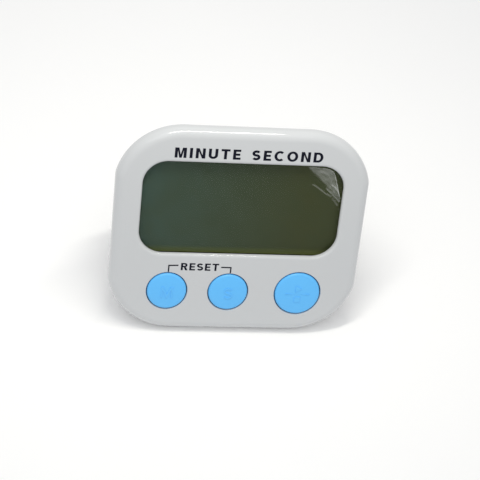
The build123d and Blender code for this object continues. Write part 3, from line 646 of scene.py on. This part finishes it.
def film_point(u, v):
    """The film's own place for a grid point of its rectangle, with its corners drawn in round."""
    half_x = WINDOW_SIZE[0] / 2 - FILM_GAP
    half_y = WINDOW_SIZE[1] / 2 - FILM_GAP
    radius = WINDOW_RADIUS - FILM_GAP
    x, y = u * half_x, v * half_y
    over_x = abs(x) - (half_x - radius)
    over_y = abs(y) - (half_y - radius)
    if over_x > 0 and over_y > 0:
        squeeze = max(over_x, over_y) / math.hypot(over_x, over_y)
        x = math.copysign(half_x - radius + over_x * squeeze, x)
        y = math.copysign(half_y - radius + over_y * squeeze, y)
    if x > 0 and y > 0:
        reach = Vector((x - (half_x - radius), y - (half_y - radius)))
        if reach.length > 0:
            angle = math.degrees(math.atan2(reach.y, reach.x))
            turned = max(0.0, 1 - ((angle - PULL_ANGLE) / PULL_SPREAD) ** 2)
            pull = PULL_DEPTH * turned * smooth_step(reach.length, PULL_START, radius)
            reach *= 1 - pull / radius
            x = half_x - radius + reach.x
            y = half_y - radius + reach.y
    return x, y + WINDOW_Y


def film_relief(x, y, beyond, edge):
    """The film's height in millimetres at a point, its veil of painted reflection and the painted
    highlight on its creases.
    """
    wave = noise.noise(Vector((x * WAVE_RATE, y * WAVE_RATE, WAVE_PLANE)))
    height = smooth_step(beyond, 0.0, LIFT_REACH) * LIFT_HEIGHT * (1 + WAVE_SHARE * wave)
    ripple = noise.noise(Vector((x * RIPPLE_RATE, y * RIPPLE_RATE, RIPPLE_PLANE)))
    height += RIPPLE_HEIGHT * ripple
    # Painted highlight on the creases and on the lifted corner's cut edge
    crease = 0.0
    for path, width, strength, rise in CREASES:
        near = math.exp(-((distance_to_path(x, y, path) / width) ** 2))
        crease += strength * near
        height += rise * near
    if beyond > CUT_FROM and edge > CUT_EDGE:
        crease += CUT_HIGHLIGHT * smooth_step(beyond, CUT_FROM, CUT_TO)
    # The veil of painted reflection over the lifted part
    veil = smooth_step(beyond, VEIL_FROM, VEIL_TO) * (VEIL_LEVEL + VEIL_WAVE * wave)
    return max(0.0, height), veil, min(1.0, crease)


def make_film(material):
    """The clear film on the lens, lifted and creased at its top right corner."""
    start, end = (Vector(p) for p in LIFT_LINE)
    along = (end - start).normalized()
    towards = Vector((-along.y, along.x))
    shape = bmesh.new()
    reflection_layer = shape.verts.layers.float.new("film_lift_reflection")
    highlight_layer = shape.verts.layers.float.new("film_crease_highlight")
    grid = []
    for row in range(FILM_ROWS + 1):
        line = []
        for column in range(FILM_COLUMNS + 1):
            x, y = film_point(2 * column / FILM_COLUMNS - 1, 2 * row / FILM_ROWS - 1)
            beyond = (Vector((x, y)) - start).dot(towards)
            edge = max(abs(column / FILM_COLUMNS * 2 - 1), abs(row / FILM_ROWS * 2 - 1))
            height, veil, crease = film_relief(x, y, beyond, edge)
            out = -LENS_DEPTH + FILM_THICKNESS + FILM_CLEARANCE + height
            point = shape.verts.new(on_face(x, y, out))
            # Each point holds its painted reflection and its crease's painted highlight, for the
            # film's material
            point[reflection_layer] = veil
            point[highlight_layer] = crease
            line.append(point)
        grid.append(line)
    for lower, upper in zip(grid, grid[1:]):
        for i in range(FILM_COLUMNS):
            shape.faces.new((lower[i], lower[i + 1], upper[i + 1], upper[i]))
    mesh = take_mesh(shape, "film_sheet")
    for face in mesh.polygons:
        face.use_smooth = True
    piece = link_mesh("film_sheet", mesh, material, "case")
    let_light_through(piece)
    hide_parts("protective_film")


# ---------------------------------------------------------------- lettering
def strip(outer, inner, closed=False):
    """Faces between two lines of as many points."""
    count = len(outer)
    points = list(outer) + list(inner)
    last = count if closed else count - 1
    faces = [(i, (i + 1) % count, count + (i + 1) % count, count + i) for i in range(last)]
    return points, faces


def arc(centre_x, centre_y, radius_x, radius_y, first, last, steps=16):
    """Points along part of an ellipse, between two angles in degrees."""
    points = []
    for step in range(steps + 1):
        angle = math.radians(first + (last - first) * step / steps)
        x = centre_x + radius_x * math.cos(angle)
        y = centre_y + radius_y * math.sin(angle)
        points.append((x, y))
    return points


def ribbon(path, thick):
    """A strip of even thickness along a smooth path."""
    sides = ([], [])
    for i, (x, y) in enumerate(path):
        before, after = path[max(0, i - 1)], path[min(len(path) - 1, i + 1)]
        run = Vector((after[0] - before[0], after[1] - before[1])).normalized()
        for side, sign in zip(sides, (0.5, -0.5)):
            side.append((x - run.y * thick * sign, y + run.x * thick * sign))
    return strip(*sides)


def whole(*points):
    """One face round some points."""
    return list(points), [tuple(range(len(points)))]


# Plain block capitals, drawn in a box one unit high: their widths (an I is as wide as its stem),
# and how thick a bar is against a stem
LETTER_WIDTHS = {
    "C": 0.80,
    "D": 0.80,
    "E": 0.62,
    "M": 0.95,
    "N": 0.78,
    "O": 0.90,
    "R": 0.74,
    "S": 0.70,
    "T": 0.72,
    "U": 0.76,
}
BAR_SHARE = 0.9
# Half the height of a C and an O, which reach a little past the box
ROUND_HALF = 0.51


def straight_letter(letter, w, t):
    """The outline of a capital of width w that has straight sides only, its stems t thick."""
    bar = BAR_SHARE * t
    if letter == "I":
        return [(0, 0), (t, 0), (t, 1), (0, 1)]
    if letter == "T":
        left, right, under = (w - t) / 2, (w + t) / 2, 1 - bar
        stem = [(left, under), (left, 0), (right, 0), (right, under)]
        return [(0, 1), (0, under), *stem, (w, under), (w, 1)]
    if letter == "E":
        low, high, reach = 0.5 - bar / 2, 0.5 + bar / 2, 0.92 * w
        foot = [(0, 0), (w, 0), (w, bar), (t, bar)]
        middle = [(t, low), (reach, low), (reach, high), (t, high)]
        return [*foot, *middle, (t, 1 - bar), (w, 1 - bar), (w, 1), (0, 1)]
    if letter == "N":
        slope, high, low = 1.1 * t, 0.68, 0.32
        left = [(0, 0), (t, 0), (t, high), (w - slope, 0)]
        return [*left, (w, 0), (w, 1), (w - t, 1), (w - t, low), (slope, 1), (0, 1)]
    middle, point, slope, shoulder, dip = w / 2, 0.42 * t, 1.4 * t, 0.74, 0.32
    left = [(0, 0), (t, 0), (t, shoulder), (middle - point, 0)]
    right = [(middle + point, 0), (w - t, shoulder), (w - t, 0), (w, 0)]
    return [*left, *right, (w, 1), (w - slope, 1), (middle, dip), (slope, 1), (0, 1)]


def round_letter(letter, w, t):
    """The parts of a capital of width w that has round sides, its stems t thick."""
    bar = BAR_SHARE * t
    if letter == "U":
        bowl = 0.36
        outer = [(0, 1)] + arc(w / 2, bowl, w / 2, bowl, 180, 360) + [(w, 1)]
        inner = [(t, 1)] + arc(w / 2, bowl, w / 2 - t, bowl - bar, 180, 360) + [(w - t, 1)]
        return [strip(outer, inner)]
    if letter in "CO":
        half = 0.45
        first, last = (48, 312) if letter == "C" else (0, 360)
        outer = arc(half, 0.5, half, ROUND_HALF, first, last, 32)
        inner = arc(half, 0.5, half - t, ROUND_HALF - bar, first, last, 32)
        if letter == "O":
            return [strip(outer[:-1], inner[:-1], closed=True)]
        return [strip(outer, inner)]
    if letter == "D":
        turn = 0.42
        outer = arc(w - turn, 0.5, turn, 0.5, -90, 90, 24)
        inner = arc(w - turn, 0.5, turn - t, 0.5 - bar, -90, 90, 24)
        outer = [(0, 0), *outer, (0, 1)]
        inner = [(t, bar), *inner, (t, 1 - bar)]
        return [strip(outer, inner, closed=True)]
    if letter == "S":
        turn_x, turn_y = (w - t) / 2, (1 - t) / 4
        path = arc(w / 2, 1 - t / 2 - turn_y, turn_x, turn_y, 28, 270, 20)
        path += arc(w / 2, t / 2 + turn_y, turn_x, turn_y, 90, -152, 20)[1:]
        return [ribbon(path, 0.95 * t)]
    turn, bend, leg_top, leg_thick = 0.29, 0.40, 0.30, 1.2 * t
    low = 1 - 2 * turn
    outer = [(t, low)] + arc(bend, 1 - turn, turn, turn, -90, 90) + [(t, 1)]
    inner = arc(bend, 1 - turn, turn - t, turn - bar, -90, 90)
    inner = [(t, low + bar), *inner, (t, 1 - bar)]
    leg = whole((w - leg_thick, 0), (w, 0), (leg_top + leg_thick, low), (leg_top, low))
    return [whole((0, 0), (t, 0), (t, 1), (0, 1)), strip(outer, inner), leg]


def letter_parts(letter, t):
    """A capital's width and its parts, with stems of thickness t and bars a little thinner."""
    if letter in "EIMNT":
        w = LETTER_WIDTHS.get(letter, t)
        return w, [whole(*straight_letter(letter, w, t))]
    w = LETTER_WIDTHS[letter]
    return w, round_letter(letter, w, t)


def text_outline(words, height, wide, gap, weight, word_gap=0.0):
    """Words in block capitals, centred on x and standing on y = 0, in millimetres."""
    points, faces = [], []
    pen = 0.0
    for letter in words:
        if letter == " ":
            pen += word_gap - gap
            continue
        width, parts = letter_parts(letter, weight)
        for part_points, part_faces in parts:
            base = len(points)
            points += [(pen + x * height * wide, y * height) for x, y in part_points]
            faces += [tuple(base + i for i in face) for face in part_faces]
        pen += width * height * wide + gap
    middle = (pen - gap) / 2
    return [(x - middle, y) for x, y in points], faces


# Points of a flat shape nearer to each other than this, in millimetres, are one
WELD_DISTANCE = 0.0005


def raise_shape(name, points, faces, surface, proud, sink, material, body):
    """A thin solid of a flat shape that follows a surface, from sink below it to proud above."""
    shape = bmesh.new()
    flat = [shape.verts.new((x, y, 0)) for x, y in points]
    for face in faces:
        shape.faces.new([flat[i] for i in face])
    bmesh.ops.remove_doubles(shape, verts=shape.verts, dist=WELD_DISTANCE)
    made = bmesh.ops.extrude_face_region(shape, geom=list(shape.faces))
    for item in made["geom"]:
        if isinstance(item, bmesh.types.BMVert):
            item.co.z = 1.0
    bmesh.ops.recalc_face_normals(shape, faces=shape.faces)
    for point in shape.verts:
        x, y, raised = point.co
        out = surface(x, y) + (proud if raised else -sink)
        point.co = on_face(x, y, out)
    return link_mesh(name, take_mesh(shape, name), material, body)


def placed(points, x, y):
    """Points moved across the face."""
    return [(px + x, py + y) for px, py in points]


# ---------------------------------------------------------------- prints and marks
# The words' sizes and places, and the bracket's lines: half their thickness, and each side's foot,
# corner and tip. All in millimetres on the face, the weight in parts of the height.
PRINT_THICKNESS = 0.02
PRINTS = {
    "print_title": {
        "words": "MINUTE SECOND",
        "height": 2.95,
        "wide": 1.14,
        "gap": 0.86,
        "weight": 0.235,
        "word_gap": 3.1,
    },
    "print_reset": {"words": "RESET", "height": 2.25, "wide": 1.16, "gap": 0.46, "weight": 0.215},
}
PRINT_PLACES = {"print_title": (0.45, 22.4), "print_reset": (-10.1, -11.65)}
BRACKET_HALF = 0.19
BRACKETS = {
    "left": ((-18.85, -12.25), (-18.85, -10.25), (-16.2, -10.15)),
    "right": ((-1.35, -12.25), (-1.35, -10.5), (-4.1, -10.5)),
}
# The caps' marks: the letters' height, weight and foot, the third cap's shapes, and how far a mark
# stands above the cap and reaches into it
MARK_HEIGHT, MARK_WEIGHT, MARK_FOOT = 3.4, 0.12, -1.9
MARK_PROUD, MARK_SINK = 0.13, 0.05
START_MARKS = {
    "run": ((-0.75, 0.75), (1.15, 1.75), (-0.75, 2.75)),
    "bar": ((-3.4, -0.12), (3.4, -0.12), (3.4, 0.12), (-3.4, 0.12)),
    "stop": ((-0.85, -2.5), (0.85, -2.5), (0.85, -0.8), (-0.85, -0.8)),
}


def flat_face(_x, _y):
    """The flat of the face, the same at every point."""
    return 0.0


def crown_of(middle, radius):
    """The crowned top of a cap at a place across the face."""

    def crown(x, y):
        """How far the cap's top stands out at a point."""
        off = math.hypot(x - middle, y - BUTTON_Y) / radius
        return CAP_STAND + CAP_CROWN * (1 - off * off)

    return crown


def make_prints(material):
    """The words and the bracket printed on the face, all of them generic."""
    ink = {
        "surface": flat_face,
        "proud": PRINT_THICKNESS,
        "sink": 0.0,
        "material": material,
        "body": "case",
    }
    for name, text in PRINTS.items():
        points, faces = text_outline(**text)
        raise_shape(name, placed(points, *PRINT_PLACES[name]), faces, **ink)
    for side, (foot, corner, tip) in BRACKETS.items():
        inner = BRACKET_HALF if side == "left" else -BRACKET_HALF
        points = [
            (foot[0] - inner, foot[1]),
            (foot[0] + inner, foot[1]),
            (corner[0] + inner, corner[1] - BRACKET_HALF),
            (tip[0], tip[1] - BRACKET_HALF),
            (tip[0], tip[1] + BRACKET_HALF),
            (corner[0] - inner, corner[1] + BRACKET_HALF),
        ]
        raise_shape(f"print_bracket_{side}", points, [(0, 1, 2, 5), (2, 3, 4, 5)], **ink)


def make_button_marks(material):
    """Low raised marks on the caps: a letter on each of two, and run over stop on the third."""
    for name, (middle, radius) in BUTTONS.items():
        if name == "start":
            shapes = {label: whole(*points) for label, points in START_MARKS.items()}
        else:
            points, faces = text_outline(name[0].upper(), MARK_HEIGHT, 1.0, 0.0, MARK_WEIGHT)
            shapes = {"letter": (placed(points, 0.0, MARK_FOOT), faces)}
        for label, (points, faces) in shapes.items():
            raise_shape(
                f"mark_{name}_{label}",
                placed(points, middle, BUTTON_Y),
                faces,
                surface=crown_of(middle, radius),
                proud=MARK_PROUD,
                sink=MARK_SINK,
                material=material,
                body=f"{name}_button",
            )


# ---------------------------------------------------------------- stage and lights
FLOOR_HALF = 3.0
WORLD_STRENGTH = 0.66
# Each light: its place from the face's middle and its size, in metres, its power in watts and
# its colour
LIGHTS = {
    "key": ((-0.008, 0.016, 0.17), (0.105, 0.007), 0.125, (1.0, 0.975, 0.90)),
    "fill": ((-0.25, -0.25, 1.1), (0.9, 0.9), 2.5, (0.94, 0.975, 1.0)),
}


def make_stage():
    """A pale floor and a soft white surround."""
    signs = ((-1, -1), (1, -1), (1, 1), (-1, 1))
    corners = [(x * FLOOR_HALF, y * FLOOR_HALF, 0) for x, y in signs]
    mesh = bpy.data.meshes.new("floor")
    mesh.from_pydata(corners, [], [(0, 1, 2, 3)])
    floor = bpy.data.objects.new("floor", mesh)
    bpy.context.scene.collection.objects.link(floor)
    material, tree, shader = new_material("floor_paper")
    shade = add_noise(tree, scale=14, detail=4)
    set_colour(tree, shader, shade, (0.97, 0.97, 0.97), (0.985, 0.985, 0.985))
    shader.inputs["Roughness"].default_value = 0.9
    mesh.materials.append(material)
    world = bpy.data.worlds.new("world")
    bpy.context.scene.world = world
    world.use_nodes = True
    sky = world.node_tree.nodes["Background"]
    sky.inputs[0].default_value = (1, 1, 1, 1)
    sky.inputs[1].default_value = WORLD_STRENGTH


def add_area(name, offset, size, power, colour):
    """A soft box at an offset from the face's middle, turned to it."""
    place = face_centre + Vector(offset)
    data = bpy.data.lights.new(name, "AREA")
    data.shape = "RECTANGLE"
    data.size, data.size_y = size
    data.energy = power
    data.color = colour
    light = bpy.data.objects.new(name, data)
    bpy.context.scene.collection.objects.link(light)
    light.location = place
    light.rotation_mode = "QUATERNION"
    light.rotation_quaternion = (face_centre - place).to_track_quat("-Z", "Y")


make_camera()
make_stage()
for name, values in LIGHTS.items():
    add_area(name, *values)

materials = make_materials()
for name, kind in NODE_MATERIALS.items():
    dress(frame["nodes"][name], materials[kind])
make_lens(materials["lens"])
make_film(materials["film"])
make_prints(materials["ink"])
make_button_marks(materials["blue"])

bpy.context.scene.view_settings.view_transform = "Standard"
